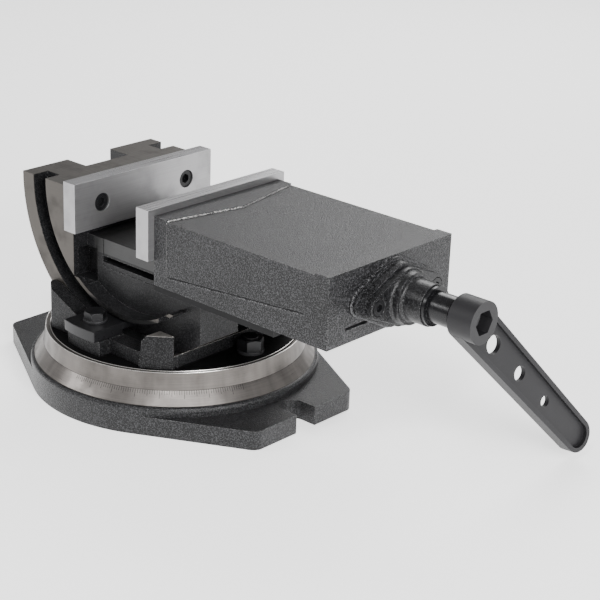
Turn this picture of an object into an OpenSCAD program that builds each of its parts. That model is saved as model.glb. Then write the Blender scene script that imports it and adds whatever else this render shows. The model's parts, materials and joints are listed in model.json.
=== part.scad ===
// Tilting and swivelling machine vise, 125 mm jaws.
// Origin: bottom centre of the base, on the swivel axis.
// +X runs along the screw to the crank, +Y along the jaws, +Z up. Millimetres.

/* [Base] */
// Length of the base over both bolting lugs
base_len = 245; // [225:1:300]
// Width of each lug at its end face
lug_w = 91; // [60:1:110]
// Thickness of the lugs
lug_t = 13.2; // [10:0.2:16]
// Corner radius of the lugs
lug_corner = 8; // [2:1:14]
// Width of the open bolt slots
slot_w = 17.7; // [12:0.1:22]
// Length of the open bolt slots from the end face
slot_len = 20; // [12:1:28]
// Radius of the round middle of the base
base_r = 99; // [97:0.5:106]
// Height of the round middle, where the graduated cone starts
base_h = 19.3; // [17:0.1:24]
// Radius at the foot of the graduated cone
cone_foot_r = 96.5; // [93:0.1:96.9]
// Height of the graduated cone
cone_h = 8.9; // [7:0.1:14]

/* [Swivel table] */
// Radius at the foot of the swivel table, and at the top of the cone
ring_r = 90.1; // [88:0.1:92]
// Height of the turned ring of the table
ring_h = 11.3; // [9:0.1:16]
// Radius of the cast part of the table above its ring
table_r = 81; // [78:0.5:84]
// Radius of the spigot that centres the table in the base
spigot_r = 28; // [18:0.5:40]
// Radius of the bolt circle of the swivel lock
lock_r = 71.5; // [70:0.5:72]
// Radius of the swivel lock bolts
lock_bolt_r = 5; // [4:0.5:6]
// Height of the cheeks where the toe clamps bear
pad_z = 50.5; // [48:0.5:53]
// Height of the tall end of each cheek
cheek_z = 68.5; // [64:0.5:74]

/* [Tilting body] */
// Distance of the tilt axis from the swivel axis
tilt_x = 11; // [8:0.5:14]
// Height of the tilt axis
tilt_z = 136; // [134:0.5:142]
// Outer radius of the arc rail
rail_r = 99.5; // [97:0.5:100]
// Radial thickness of the arc rail
rail_t = 11; // [8:0.5:13]
// Radial width of the clamp groove inside the rail
groove_w = 12.5; // [11:0.5:15]
// Depth of the clamp groove from the side of the body
groove_d = 12.4; // [8:0.2:16]
// Full width of the body
body_w = 116.8; // [110:0.2:122]
// Height of the top of the body
body_top = 138.6; // [136:0.1:142]
// Height of the guideway
bed_z = 104.5; // [102:0.5:105]
// End of the guideway along the screw
bed_end = 112; // [100:1:114]
// Width of the guideway
bed_w = 91.2; // [80:0.2:96]

/* [Jaws] */
// Width of the jaw plates
jaw_w = 125; // [110:1:150]
// Height of the jaw plates
jaw_h = 34; // [28:0.5:38]
// Thickness of the jaw plates
jaw_t = 11.15; // [9:0.05:13]
// Face of the fixed jaw plate
jaw_face_x = -30.7; // [-34:0.1:-28]
// Opening between the jaw plates as built
opening = 59.2; // [40:0.1:70]
// Largest opening
opening_max = 100; // [80:1:100]
// Distance between the two screws of a jaw plate
jaw_screw_pitch = 77.3; // [60:0.1:90]

/* [Moving jaw] */
// Length of the moving jaw casting
slide_len = 147.3; // [140:0.1:160]
// Width of the moving jaw casting
slide_w = 114.4; // [110:0.2:120]
// Height of its underside
slide_z = 92.4; // [90:0.1:95]
// Thickness of its roof
roof_t = 9; // [6:0.5:10]
// Length of its back wall
back_wall = 12; // [9:0.5:14]
// Length of its front wall
front_wall = 14; // [12:0.5:18]
// Length of the raised lip at the front of the roof
lip_len = 11.5; // [8:0.5:16]
// Height of the raised lip and pad over the roof
lip_h = 1.3; // [0.6:0.1:2]
// Thickness of the keeper strips under its sides
keeper_t = 4; // [3:0.2:4]

/* [Screw and crank] */
// Radius of the lead screw
screw_r = 10; // [8:0.5:10.5]
// Height of the screw
screw_z = 115.6; // [114:0.1:117]
// Radius of the journal in the bearing cap
journal_r = 8.2; // [8.2:0.1:8.6]
// Across flats of the hexagon for the crank
hex_af = 14; // [12:0.5:14]
// Length of the crank from its bore to its tip
crank_len = 147; // [120:1:155]
// Crank's direction below the horizontal in degrees
crank_dir = 47; // [0:1:48]
// Outward lean of the crank arm in degrees
crank_lean = 9.4; // [6:0.2:12]

/* [Hidden] */
$fn = 96;

// Clearances
run = 0.05;         // radial, shafts in bores
slip = 0.3;         // between curved or sliding faces of different bodies
loose = 0.4;        // round bolts in clearance holes
thread_gap = 0.05;  // screws in their tapped holes
through = 1;        // how far a cutter runs past a face

// Base
base_top = base_h + cone_h;
floor_t = 6;
shoulder_r = base_r - cone_foot_r;
lug_half = base_len / 2;
bush_t = 3;
bush_r = spigot_r + run + bush_t;
t_head_r = 8.3;
t_head_h = 7.4;
t_slot_z = 9;
t_slot_h = t_head_h + 2 * slip;

// Swivel table
ring_top_z = base_top + ring_h;
ring_top_r = ring_r - 1.6;
rim_w = 2;
rim_groove_w = 0.9;
rim_d = 1;
rim_r = ring_top_r - rim_w - rim_groove_w;
spigot_h = 16;
seat_r = rail_r + slip;
seat_half = body_w / 2 + slip;
core_half_len = 59.5;
core_top = 61;
lock_washer_r = 9.2;
lock_washer_t = 2;
lock_nut_af = 16;
lock_nut_h = 8;
lock_bolt_tip = 1;

// Toe clamps: a plate on the cheek with a nose in the clamp groove
clamp_x = -4;
clamp_w = 31;
clamp_h = 7.5;
clamp_bolt_r = 4;
clamp_bolt_y = 69;
clamp_bolt_af = 13;
clamp_bolt_head = 5.3;
clamp_bolt_depth = 18;
clamp_washer_r = 8;
clamp_washer_t = 1.6;
clamp_top = pad_z + clamp_h;
clamp_x0 = clamp_x - clamp_w / 2;
clamp_x1 = clamp_x + clamp_w / 2;
cheek_left = -58;
cheek_r = table_r + 3.5;
cheek_out = 70;
cheek_slope_z = 56;
clamp_gap = 1;
block_left = 41;
block_right = 60;
block_z = 63;
block_drop = 4;
wall_z = 50;
wall_out = 71;

// Tilting body
body_half = body_w / 2;
rail_in = rail_r - rail_t;
groove_in = rail_in - groove_w;
web_half = body_half - groove_d;
side_lip_t = 2.5;
body_end = 71;
jaw_back_x = jaw_face_x - jaw_t;
ledge_x = jaw_back_x + 4.4;
wall_back = -69;
rear_gap = 39;
bed_half = bed_w / 2;
keeper_reach = 9.6;
neck_half = bed_half - keeper_reach - slip;
way_start = jaw_face_x + 8.7;
side_ledge_z = 77;
ledge_z = 96;
pocket_len = 10;
pocket_wall = 4;
pocket_z = 72;
pocket_in = 36;
rail_end = 45;
core_hole_len = 36;
core_hole_z = 60;
core_hole_r = 12;
nut_bolt_depth = 14;

// Jaws
jaw_top = body_top + 4.4;
jaw_bottom = jaw_top - jaw_h;
jaw_screw_z = jaw_bottom + jaw_h / 2 + 0.2;
cap_head_r = 5.9;
cap_sink_r = cap_head_r + 0.35;
cap_head_h = 6.5;
cap_sink_d = 7.5;
cap_shank_r = 3.9;
cap_socket_af = 6;
cap_socket_d = 3.5;
cap_grip = 14;

// Moving jaw
move_face_x = jaw_face_x + opening;
slide_x = move_face_x + jaw_t;
slide_end = slide_x + slide_len;
slide_half = slide_w / 2;
slide_top = body_top - lip_h;
cavity_half = bed_half + 0.1;
cavity_top = slide_top - roof_t;
cavity_x0 = slide_x + back_wall;
cavity_x1 = slide_end - front_wall;
way_gap = 0.2;
pad_side_x = 11.5;
pad_nose_x = 23;
keeper_len = 105;
keeper_w = slide_half - cavity_half + keeper_reach;
keeper_screw_r = 2.9;
keeper_head_r = 5;
keeper_head_h = 2.4;
keeper_screw_len = 12;
keeper_screw_y = (slide_half + cavity_half) / 2;
keeper_screw_n = 4;
keeper_screw_pitch = 28;
keeper_screw_x0 = slide_x + 12;
face_slot_w = 25;
face_slot_h = 2;
face_slot_d = 3;
face_slot_y = -28.5;
face_slot_z = 101.8;

// Front boss and bearing cap, a rounded diamond
boss_t = 9;
boss_foot_t = 3;
boss_inset = 2.2;
boss_x = slide_end + boss_t;
boss_half_w = 37;
boss_half_h = 22.6;
boss_tip_r = 8;
boss_apex_r = 9;
flange_t = 4.5;
cap_face_x = boss_x + flange_t;
cap_screw_pitch = 54;
cap_lobe_r = 7.4;
cap_hub_r = 18;
cap_step_r = 16.5;
cap_step_len = 5;
cap_screw_head_h = 3.8;
cap_nose_r = 13.3;
cap_end_x = cap_face_x + 19;
bearing_r = 15;
shoulder_flange_t = 5;
washer_t = 2;
washer_r = bearing_r - 0.3;
thrust_len = 2 * washer_t + shoulder_flange_t + 0.1;
thrust_x0 = boss_x - thrust_len;

// Screw, nut and collar
screw_x0 = cavity_x0 + 1;
nut_x0 = cavity_x0 + opening_max - opening + 1;
nut_len = bed_end - nut_x0 - 0.5;
nut_half_w = 20;
nut_top = cavity_top - 1;
nut_bolt_r = 2.9;
nut_bolt_head_r = 4.8;
nut_bolt_head_h = 5;
nut_bolt_y = 15;
collar_gap = 0.3;
collar_x = cap_end_x + collar_gap;
collar_len = 17;
collar_r = 9.8;
collar_flange_r = 12.4;
collar_flange_t = 2;
set_screw_pitch = 6;
set_screw_dir = 205;
set_screw_r = 1.2;
hex_len = 12;
hex_x = collar_x + collar_len;

// Crank
hub_len = 17;
hub_r = 13.4;
hub_x = hex_x + 3;
hex_gap = 0.1;
arm_t = 9;
arm_root_w = 27;
arm_tip_w = 22;
arm_root_x = 0.5;
arm_rim = 3;
arm_web_d = 2.8;
arm_hole_first = 28.5;
arm_hole_pitch = 33;
arm_hole_r = [6, 4.9, 3.8];

function hex_r(af) = af / 2 / cos(30);

// A disc or shaft along +X from x
module rod_x(x, len, r) {
    translate([x, 0, 0]) rotate([0, 90, 0]) cylinder(h = len, r = r);
}

// A ring along +X from x
module ring_x(x, len, r, bore) {
    difference() {
        rod_x(x, len, r);
        rod_x(x - through, len + 2 * through, bore);
    }
}

// A cylinder across the body, about the tilt axis
module tilt_drum(r, half) {
    translate([tilt_x, 0, tilt_z]) rotate([90, 0, 0])
        cylinder(h = 2 * half, r = r, center = true, $fn = 180);
}

// Box from its two corners
module box(a, b) {
    translate(a) cube(b - a);
}

// Socket head cap screw with its head's top at the origin, shank along -Z
module cap_screw(head_r, head_h, shank_r, len, af, socket_d) {
    difference() {
        union() {
            translate([0, 0, -head_h]) cylinder(h = head_h, r = head_r, $fn = 48);
            translate([0, 0, -head_h - len]) cylinder(h = len + through, r = shank_r, $fn = 48);
        }
        translate([0, 0, -socket_d]) cylinder(h = socket_d + through, r = hex_r(af), $fn = 6);
    }
}

// Hexagon nut or bolt head standing on z = 0
module hexagon(af, h) {
    intersection() {
        cylinder(h = h, r = hex_r(af), $fn = 6);
        union() {
            cylinder(h = h - 1, r = hex_r(af) + through, $fn = 48);
            translate([0, 0, h - 1]) cylinder(h = 1, r1 = hex_r(af), r2 = af / 2, $fn = 48);
        }
    }
}

// Half of the base's plan: the lug with rounded corners, its flanks tangent to the round middle
module lug_plan() {
    corner = [lug_half, lug_w / 2];
    a = atan2(corner[1], corner[0]) + acos(base_r / norm(corner));
    tangent = base_r * [cos(a), sin(a)];
    flank = (tangent - corner) / norm(tangent - corner);
    half_angle = acos(-flank[1]) / 2;
    cut = lug_corner / tan(half_angle);
    outline = [[0, tangent[1]], tangent, corner + cut * flank, corner - [0, cut]];
    difference() {
        union() {
            polygon(concat(outline, [for (i = [3 : -1 : 0]) [outline[i][0], -outline[i][1]]]));
            for (s = [-1, 1]) translate([lug_half - lug_corner, s * (corner[1] - cut)])
                circle(r = lug_corner);
        }
        translate([lug_half - slot_len + slot_w / 2, 0]) circle(r = slot_w / 2);
        translate([lug_half - slot_len + slot_w / 2, -slot_w / 2]) square([slot_len, slot_w]);
    }
}

module base_casting() {
    color([0.24, 0.24, 0.25]) difference() {
        union() {
            for (m = [0, 1]) mirror([m, 0, 0]) linear_extrude(lug_t) lug_plan();
            rotate_extrude($fn = 180) {
                square([base_r, base_h - shoulder_r]);
                square([cone_foot_r, base_h]);
                translate([cone_foot_r, base_h - shoulder_r]) circle(r = shoulder_r);
            }
            translate([0, 0, base_h]) cylinder(h = cone_h, r1 = cone_foot_r, r2 = ring_r, $fn = 180);
        }
        translate([0, 0, floor_t]) cylinder(h = base_top, r = bush_r);
        // Circular T-slot of the swivel lock
        rotate_extrude($fn = 180) {
            translate([lock_r - t_head_r - slip, t_slot_z]) square([2 * (t_head_r + slip), t_slot_h]);
            translate([lock_r - lock_bolt_r - loose, t_slot_z])
                square([2 * (lock_bolt_r + loose), base_top]);
        }
        // Hole where the T-bolts drop into the slot
        translate([0, lock_r, t_slot_z]) cylinder(h = base_top, r = t_head_r + 2 * slip);
    }
}

module pivot_bush() {
    color([0.7, 0.55, 0.3]) translate([0, 0, floor_t]) difference() {
        cylinder(h = base_top - floor_t - 2 * through, r = bush_r);
        translate([0, 0, -through]) cylinder(h = base_top, r = spigot_r + run);
    }
}

// Side view of a cheek's tall end, which slopes down to the toe clamp
module cheek_tall_side() {
    polygon([
        [cheek_left, base_top], [cheek_left, cheek_z], [cheek_left + 9, cheek_z],
        [clamp_x0 - clamp_gap, cheek_slope_z], [clamp_x0 - clamp_gap, base_top]
    ]);
}

// Side view of a cheek's block, machined on top
module cheek_block_side() {
    polygon([
        [block_left, base_top], [block_left + 3, block_z - block_drop],
        [block_left + 6, block_z], [block_right, block_z], [block_right, base_top]
    ]);
}

// A side view as a solid from just inside the cradle to |y| = out, on the -Y side
module cheek_slab(out) {
    translate([0, through - seat_half, 0]) rotate([90, 0, 0])
        linear_extrude(out - seat_half + through) children();
}

module cheeks() {
    intersection() {
        translate([0, 0, base_top]) cylinder(h = cheek_z, r = cheek_r, $fn = 180);
        for (m = [0, 1]) mirror([0, m, 0]) {
            cheek_slab(cheek_out) cheek_tall_side();
            cheek_slab(cheek_r) cheek_block_side();
        }
    }
    intersection() {
        translate([0, 0, base_top]) cylinder(h = cheek_z, r = table_r, $fn = 180);
        for (m = [0, 1]) mirror([0, m, 0]) {
            box([clamp_x0 - clamp_gap, -table_r, base_top],
                [clamp_x1 + clamp_gap, through - seat_half, pad_z]);
            box([clamp_x1, -wall_out, base_top], [block_left + 1, through - seat_half, wall_z]);
        }
    }
}

module swivel_table() {
    color([0.27, 0.27, 0.28]) difference() {
        union() {
            translate([0, 0, base_top]) cylinder(h = ring_h, r1 = ring_r, r2 = ring_top_r, $fn = 180);
            translate([0, 0, base_top - spigot_h]) cylinder(h = spigot_h + through, r = spigot_r);
            intersection() {
                translate([0, 0, base_top]) cylinder(h = cheek_z, r = table_r, $fn = 180);
                box([-core_half_len, -seat_half, base_top], [core_half_len, seat_half, core_top]);
            }
            cheeks();
        }
        tilt_drum(seat_r, seat_half);
        translate([0, 0, ring_top_z - rim_d]) difference() {
            cylinder(h = rim_d + through, r = rim_r + rim_groove_w, $fn = 180);
            cylinder(h = rim_d + through, r = rim_r, $fn = 180);
        }
        for (s = [-1, 1]) {
            translate([s * lock_r, 0, base_top - through])
                cylinder(h = ring_h + 2 * through, r = lock_bolt_r + loose);
            translate([clamp_x, s * clamp_bolt_y, pad_z - clamp_bolt_depth])
                cylinder(h = clamp_bolt_depth + through, r = clamp_bolt_r + thread_gap);
        }
    }
}

module swivel_lock_bolts() {
    top = ring_top_z + lock_washer_t + lock_nut_h + lock_bolt_tip;
    color([0.15, 0.15, 0.16]) for (s = [-1, 1]) translate([s * lock_r, 0, t_slot_z + slip]) {
        cylinder(h = t_head_h, r = t_head_r);
        cylinder(h = top - t_slot_z - slip, r = lock_bolt_r);
    }
}

module swivel_lock_washers() {
    color([0.2, 0.2, 0.21]) for (s = [-1, 1]) translate([s * lock_r, 0, ring_top_z]) difference() {
        cylinder(h = lock_washer_t, r = lock_washer_r);
        translate([0, 0, -through]) cylinder(h = lock_washer_t + 2 * through, r = lock_bolt_r + loose);
    }
}

module swivel_lock_nuts() {
    color([0.15, 0.15, 0.16]) for (s = [-1, 1]) translate([s * lock_r, 0, ring_top_z + lock_washer_t])
        difference() {
            hexagon(lock_nut_af, lock_nut_h);
            translate([0, 0, -through])
                cylinder(h = lock_nut_h + 2 * through, r = lock_bolt_r + thread_gap);
        }
}

// Toe clamp on the -Y side
module toe_clamp() {
    nose_z0 = tilt_z - sqrt(pow(rail_in - slip, 2) - pow(tilt_x - clamp_x0, 2));
    nose_z1 = min(clamp_top, tilt_z - groove_in - 2 * slip);
    color([0.17, 0.17, 0.18]) difference() {
        union() {
            intersection() {
                cylinder(h = clamp_top, r = cheek_r, $fn = 180);
                box([clamp_x0, -cheek_r, pad_z], [clamp_x1, -seat_half, clamp_top]);
            }
            box([clamp_x0, -seat_half - through, nose_z0],
                [clamp_x1, -web_half - 2 * slip, nose_z1]);
        }
        translate([clamp_x, -clamp_bolt_y, 0]) cylinder(h = 2 * clamp_top, r = clamp_bolt_r + loose);
    }
}

module toe_clamp_front() {
    toe_clamp();
}

module toe_clamp_rear() {
    mirror([0, 1, 0]) toe_clamp();
}

module toe_clamp_bolts() {
    color([0.12, 0.12, 0.13]) for (s = [-1, 1]) translate([clamp_x, s * clamp_bolt_y, 0]) {
        translate([0, 0, clamp_top + clamp_washer_t]) hexagon(clamp_bolt_af, clamp_bolt_head);
        translate([0, 0, pad_z - clamp_bolt_depth + 2])
            cylinder(h = clamp_h + clamp_bolt_depth, r = clamp_bolt_r);
    }
}

module toe_clamp_washers() {
    color([0.2, 0.2, 0.21]) for (s = [-1, 1]) translate([clamp_x, s * clamp_bolt_y, clamp_top])
        difference() {
            cylinder(h = clamp_washer_t, r = clamp_washer_r);
            translate([0, 0, -through])
                cylinder(h = clamp_washer_t + 2 * through, r = clamp_bolt_r + loose);
        }
}

// Everything of the arc rails, drum and jaw wall that turns about the tilt axis
module rail_barrel() {
    intersection() {
        tilt_drum(rail_r, body_half);
        box([tilt_x - rail_r - through, -body_half, tilt_z - rail_r - through],
            [body_end, body_half, body_top]);
    }
}

// What the groove of the toe clamps takes off the -Y side
module clamp_groove() {
    intersection() {
        difference() {
            tilt_drum(rail_in, table_r);
            tilt_drum(groove_in, table_r + through);
        }
        box([-base_len, -base_len, 0], [base_len, -web_half, base_len]);
    }
}

// What the dished side takes off, inside the thin lip of the groove
module side_dish() {
    intersection() {
        tilt_drum(groove_in - side_lip_t, table_r);
        box([ledge_x, -base_len, 0], [base_len, -web_half, base_len]);
    }
}

module tilt_body() {
    far = base_len;
    color([0.35, 0.35, 0.36]) difference() {
        union() {
            rail_barrel();
            box([way_start, -bed_half, slide_z + way_gap / 2], [bed_end, bed_half, bed_z]);
            box([way_start, -neck_half, side_ledge_z], [bed_end, neck_half, bed_z]);
        }
        // Space over the guideway, and the seat of the fixed jaw plate
        box([ledge_x, -far, bed_z], [far, far, far]);
        box([jaw_back_x, -far, jaw_bottom], [far, far, far]);
        for (m = [0, 1]) mirror([0, m, 0]) {
            clamp_groove();
            side_dish();
            // Clear sides beside the guideway, and the space of the keeper strips under its edges
            box([ledge_x, -far, side_ledge_z], [far, -web_half, far]);
            box([way_start, -far, side_ledge_z + 8], [far, -bed_half, far]);
            box([way_start, -far, slide_z - keeper_t - way_gap], [far, -neck_half, slide_z + way_gap / 2]);
            // Core pocket under the ledge of the fixed jaw
            box([ledge_x - pocket_len, -body_half + pocket_wall, pocket_z],
                [ledge_x + pocket_len, -pocket_in, ledge_z]);
            // The rail ends short of the body at the open end
            box([rail_end, -far, 0], [far, -web_half, side_ledge_z - side_lip_t]);
        }
        // Gap between the two rails behind the jaw
        box([-far, -rear_gap / 2, 0], [wall_back, rear_gap / 2, far]);
        // Core hole of the casting under the guideway
        translate([body_end - core_hole_len, 0, core_hole_z]) rotate([0, 90, 0])
            cylinder(h = far, r = core_hole_r);
        for (s = [-1, 1]) {
            translate([jaw_back_x - cap_grip, s * jaw_screw_pitch / 2, jaw_screw_z]) rotate([0, 90, 0])
                cylinder(h = far, r = cap_shank_r + thread_gap);
            translate([nut_x0 + nut_len / 2, s * nut_bolt_y, bed_z - nut_bolt_depth])
                cylinder(h = far, r = nut_bolt_r + thread_gap);
        }
    }
}

// A jaw plate with its back at x = 0 and its face on +X
module jaw_plate() {
    color([0.72, 0.71, 0.7]) difference() {
        translate([0, -jaw_w / 2, jaw_bottom]) cube([jaw_t, jaw_w, jaw_h]);
        for (s = [-1, 1]) translate([0, s * jaw_screw_pitch / 2, jaw_screw_z]) rotate([0, 90, 0]) {
            translate([0, 0, -through]) cylinder(h = jaw_t + 2 * through, r = cap_shank_r + loose);
            translate([0, 0, jaw_t - cap_sink_d]) cylinder(h = jaw_t, r = cap_sink_r);
        }
    }
}

module jaw_screws() {
    sink_x = jaw_t - cap_sink_d;
    grip = sink_x + cap_grip - 2;
    color([0.12, 0.12, 0.13]) for (s = [-1, 1])
        translate([sink_x + cap_head_h, s * jaw_screw_pitch / 2, jaw_screw_z]) rotate([0, 90, 0])
            cap_screw(cap_head_r, cap_head_h, cap_shank_r, grip, cap_socket_af, cap_socket_d);
}

module fixed_jaw_plate() {
    translate([jaw_back_x, 0, 0]) jaw_plate();
}

module fixed_jaw_screws() {
    translate([jaw_back_x, 0, 0]) jaw_screws();
}

module screw_nut() {
    color([0.7, 0.55, 0.3]) difference() {
        box([nut_x0, -nut_half_w, bed_z], [nut_x0 + nut_len, nut_half_w, nut_top]);
        translate([0, 0, screw_z]) rod_x(nut_x0 - through, nut_len + 2 * through, screw_r + run);
        for (s = [-1, 1]) translate([nut_x0 + nut_len / 2, s * nut_bolt_y, 0]) {
            cylinder(h = 2 * nut_top, r = nut_bolt_r + loose);
            translate([0, 0, nut_top - nut_bolt_head_h - 0.5])
                cylinder(h = nut_top, r = nut_bolt_head_r + loose);
        }
    }
}

module screw_nut_bolts() {
    shank = nut_top - bed_z - nut_bolt_head_h + nut_bolt_depth - 2;
    color([0.12, 0.12, 0.13]) for (s = [-1, 1])
        translate([nut_x0 + nut_len / 2, s * nut_bolt_y, nut_top - 0.5])
            cap_screw(nut_bolt_head_r, nut_bolt_head_h, nut_bolt_r, shank, 5, 3);
}

// Rounded diamond: half width, half height, radii of its side tips and of its top and bottom
module diamond(half_w, half_h, tip_r, apex_r) {
    w = half_w - tip_r;
    h = half_h - apex_r;
    a = 180 - atan2(h, w) - acos((tip_r - apex_r) / norm([w, h]));
    tip = [w + tip_r * cos(a), tip_r * sin(a)];
    apex = [apex_r * cos(a), h + apex_r * sin(a)];
    polygon([
        [0, h], apex, tip, [tip[0], -tip[1]], [apex[0], -apex[1]], [0, -h],
        -apex, -tip, [-tip[0], tip[1]], [-apex[0], apex[1]]
    ]);
    for (s = [-1, 1]) {
        translate([s * w, 0]) circle(r = tip_r);
        translate([0, s * h]) circle(r = apex_r);
    }
}

module moving_jaw() {
    color([0.27, 0.27, 0.28]) difference() {
        union() {
            box([slide_x, -slide_half, slide_z], [slide_end, slide_half, slide_top]);
            box([slide_end - lip_len, -slide_half, slide_z], [slide_end, slide_half, slide_top + lip_h]);
            linear_extrude(slide_top + lip_h) polygon([
                [slide_x, -slide_half], [slide_x + pad_side_x, -slide_half], [slide_x + pad_nose_x, 0],
                [slide_x + pad_side_x, slide_half], [slide_x, slide_half]
            ]);
            translate([slide_end - through, 0, screw_z]) rotate([90, 0, 90]) {
                linear_extrude(boss_foot_t + through)
                    diamond(boss_half_w, boss_half_h, boss_tip_r, boss_apex_r);
                linear_extrude(boss_t + through)
                    diamond(boss_half_w - boss_inset, boss_half_h - boss_inset, boss_tip_r, boss_apex_r);
            }
        }
        box([-base_len, -base_len, 0], [base_len, base_len, slide_z]);
        // Cavity over the guideway, and the passage of the guideway through the back wall
        box([cavity_x0, -cavity_half, 0], [cavity_x1, cavity_half, cavity_top]);
        box([0, -cavity_half, 0], [cavity_x1, cavity_half, bed_z + way_gap]);
        // Screw and thrust bearing
        translate([0, 0, screw_z]) {
            rod_x(cavity_x1 - through, front_wall + 2 * boss_t, journal_r + loose);
            rod_x(thrust_x0, thrust_len + through, bearing_r);
        }
        for (s = [-1, 1]) {
            translate([slide_x - through, s * jaw_screw_pitch / 2, jaw_screw_z]) rotate([0, 90, 0])
                cylinder(h = cap_grip + through, r = cap_shank_r + thread_gap);
            translate([boss_x - cap_grip, s * cap_screw_pitch / 2, screw_z]) rotate([0, 90, 0])
                cylinder(h = cap_grip + through, r = keeper_screw_r + thread_gap);
            for (i = [0 : keeper_screw_n - 1])
                translate([keeper_screw_x0 + i * keeper_screw_pitch, s * keeper_screw_y, 0])
                    cylinder(h = slide_z + keeper_screw_len, r = keeper_screw_r + thread_gap);
        }
        // Slot in the front face
        translate([slide_end - face_slot_d, face_slot_y - face_slot_w / 2, face_slot_z - face_slot_h / 2])
            cube([face_slot_d + through, face_slot_w, face_slot_h]);
    }
}

module moving_jaw_plate() {
    translate([slide_x, 0, 0]) mirror([1, 0, 0]) jaw_plate();
}

module moving_jaw_screws() {
    translate([slide_x, 0, 0]) mirror([1, 0, 0]) jaw_screws();
}

// Keeper strip on the -Y side
module keeper() {
    color([0.4, 0.4, 0.41]) difference() {
        box([slide_x, -slide_half, slide_z - keeper_t],
            [slide_x + keeper_len, -slide_half + keeper_w, slide_z]);
        for (i = [0 : keeper_screw_n - 1])
            translate([keeper_screw_x0 + i * keeper_screw_pitch, -keeper_screw_y, 0]) {
                cylinder(h = slide_z + through, r = keeper_screw_r + loose);
                cylinder(h = slide_z - keeper_t + keeper_head_h, r = keeper_head_r + loose);
            }
    }
}

module keeper_front() {
    keeper();
}

module keeper_rear() {
    mirror([0, 1, 0]) keeper();
}

module keeper_screws() {
    color([0.12, 0.12, 0.13]) for (s = [-1, 1], i = [0 : keeper_screw_n - 1])
        translate([keeper_screw_x0 + i * keeper_screw_pitch, s * keeper_screw_y, slide_z - keeper_t])
            mirror([0, 0, 1])
                cap_screw(keeper_head_r, keeper_head_h, keeper_screw_r, keeper_screw_len, 4, 1.6);
}

module bearing_cap() {
    color([0.27, 0.27, 0.28]) translate([0, 0, screw_z]) difference() {
        union() {
            translate([boss_x, 0, 0]) rotate([90, 0, 90]) linear_extrude(flange_t)
                diamond(cap_screw_pitch / 2 + cap_lobe_r, cap_hub_r, cap_lobe_r, cap_hub_r - 2);
            rod_x(cap_face_x - through, cap_step_len + through, cap_step_r);
            rod_x(cap_face_x, cap_end_x - cap_face_x, cap_nose_r);
        }
        rod_x(0, 2 * slide_end, journal_r + run);
        for (s = [-1, 1]) translate([boss_x, s * cap_screw_pitch / 2, 0]) rotate([0, 90, 0]) {
            translate([0, 0, -through]) cylinder(h = flange_t + 2 * through, r = keeper_screw_r + loose);
            translate([0, 0, flange_t - cap_screw_head_h]) cylinder(h = flange_t, r = keeper_head_r + loose);
        }
    }
}

module bearing_cap_screws() {
    color([0.12, 0.12, 0.13]) for (s = [-1, 1])
        translate([cap_face_x, s * cap_screw_pitch / 2, screw_z]) rotate([0, 90, 0])
            cap_screw(keeper_head_r, cap_screw_head_h, keeper_screw_r, cap_grip - 2, 5, 2.4);
}

module inner_thrust_washer() {
    color([0.75, 0.6, 0.3]) translate([0, 0, screw_z])
        ring_x(thrust_x0, washer_t, washer_r, journal_r + loose);
}

module outer_thrust_washer() {
    color([0.75, 0.6, 0.3]) translate([0, 0, screw_z])
        ring_x(boss_x - washer_t, washer_t, washer_r, journal_r + loose);
}

module lead_screw() {
    color([0.16, 0.16, 0.17]) translate([0, 0, screw_z]) {
        rod_x(screw_x0, cavity_x1 - 6 - screw_x0, screw_r);
        rod_x(screw_x0 + through, hex_x - screw_x0 - through, journal_r);
        rod_x(thrust_x0 + washer_t + 0.05, shoulder_flange_t, washer_r);
        translate([hex_x, 0, 0]) rotate([0, 90, 0]) rotate(30)
            cylinder(h = hex_len, r = hex_r(hex_af), $fn = 6);
    }
}

// Places of the collar's two set screws, pointing out of the screw's axis
module at_set_screws() {
    for (s = [-1, 1]) translate([collar_x + (collar_len + s * set_screw_pitch) / 2, 0, 0])
        rotate([set_screw_dir, 0, 0]) children();
}

module thrust_collar() {
    color([0.14, 0.14, 0.15]) translate([0, 0, screw_z]) difference() {
        union() {
            rod_x(collar_x, collar_len, collar_r);
            rod_x(collar_x, collar_flange_t, collar_flange_r);
        }
        rod_x(collar_x - through, collar_len + 2 * through, journal_r);
        at_set_screws() cylinder(h = 2 * collar_r, r = set_screw_r + thread_gap);
    }
}

module collar_set_screws() {
    color([0.5, 0.5, 0.5]) translate([0, 0, screw_z]) at_set_screws()
        translate([0, 0, journal_r]) cylinder(h = collar_r - journal_r - 0.3, r = set_screw_r, $fn = 24);
}

// Plan of the crank's arm along +X, a taper with a round tip
module arm_plan(inset) {
    tip_x = crank_len - arm_tip_w / 2;
    polygon([
        [0, -arm_root_w / 2 + inset], [tip_x, -arm_tip_w / 2 + inset],
        [tip_x, arm_tip_w / 2 - inset], [0, arm_root_w / 2 - inset]
    ]);
    translate([tip_x, 0]) circle(r = arm_tip_w / 2 - inset);
}

// The arm's face lies on z = 0 before it leans out
module crank_arm() {
    difference() {
        translate([0, 0, -arm_t]) linear_extrude(arm_t) arm_plan(0);
        for (z = [-arm_web_d, -arm_t - through]) translate([0, 0, z])
            linear_extrude(arm_web_d + through) difference() {
                arm_plan(arm_rim);
                circle(r = hub_r + 1);
            }
        for (i = [0 : len(arm_hole_r) - 1])
            translate([arm_hole_first + i * arm_hole_pitch, 0, -2 * arm_t])
                cylinder(h = 3 * arm_t, r = arm_hole_r[i]);
    }
}

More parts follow.
